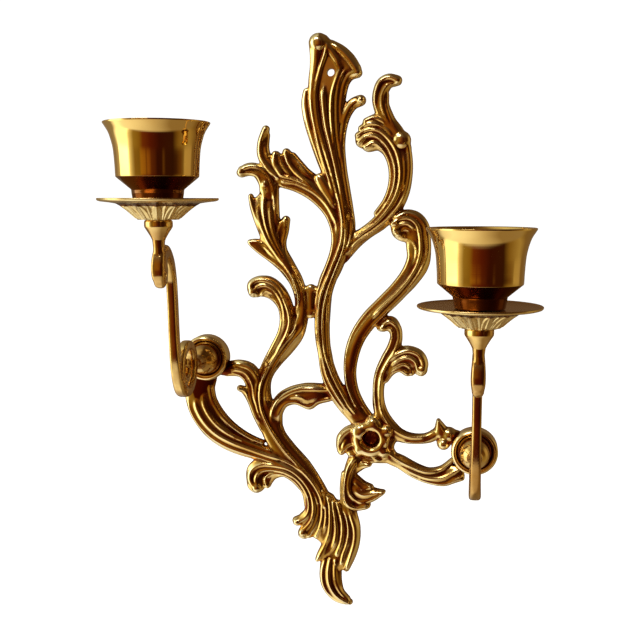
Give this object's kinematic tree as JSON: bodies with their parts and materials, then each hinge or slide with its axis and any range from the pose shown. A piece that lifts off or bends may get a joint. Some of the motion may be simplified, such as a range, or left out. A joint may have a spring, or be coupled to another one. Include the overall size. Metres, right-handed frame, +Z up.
{
  "type": "wall sconce candle holder",
  "caption": "Openwork acanthus-scroll brass wall plate with scrolled swivelling arms that carry drip pans and flared candle cups.",
  "frame": {"origin": "centre of the hanging hole on the plane of the wall", "axes": "+Z up, +Y into the wall, the sconce stands out from the wall along -Y, +X to the right seen from the front"},
  "size_m": [0.2367, 0.1331, 0.3638],
  "materials": {
    "antique_brass": "polished high spots with dark patina in the grooves",
    "polished_brass": "polished casting",
    "mirror_brass": "turned and mirror polished",
    "satin_brass": "satin cast brass",
    "hardware_brass": "plain machined brass"
  },
  "bodies": {
    "wall_plate": {"backplate": "antique_brass"},
    "left_arm_body": {"left_arm": "polished_brass", "left_pivot_knob": "polished_brass", "left_rear_washer": "hardware_brass", "left_rear_nut": "hardware_brass", "left_cup_screw": "hardware_brass"},
    "left_candle_body": {"left_drip_pan": "satin_brass", "left_candle_cup": "mirror_brass"},
    "right_arm_body": {"right_arm": "polished_brass", "right_pivot_knob": "polished_brass", "right_rear_washer": "hardware_brass", "right_rear_nut": "hardware_brass", "right_cup_screw": "hardware_brass"},
    "right_candle_body": {"right_drip_pan": "satin_brass", "right_candle_cup": "mirror_brass"}
  },
  "joints": [
    {"name": "left_arm_swivel", "type": "hinge", "parent": "wall_plate", "child": "left_arm_body", "pos_m": [-0.08, 0, -0.178], "axis": [0, 1, 0], "range_deg": [-30, 30]},
    {"name": "left_cup_turn", "type": "hinge", "parent": "left_arm_body", "child": "left_candle_body", "pos_m": [-0.08, -0.1005, -0.0763], "axis": [0, 0, 1], "continuous": true},
    {"name": "right_arm_swivel", "type": "hinge", "parent": "wall_plate", "child": "right_arm_body", "pos_m": [0.0915, 0, -0.233], "axis": [0, 1, 0], "range_deg": [-30, 30]},
    {"name": "right_cup_turn", "type": "hinge", "parent": "right_arm_body", "child": "right_candle_body", "pos_m": [0.0915, -0.1005, -0.1313], "axis": [0, 0, 1], "continuous": true}
  ]
}
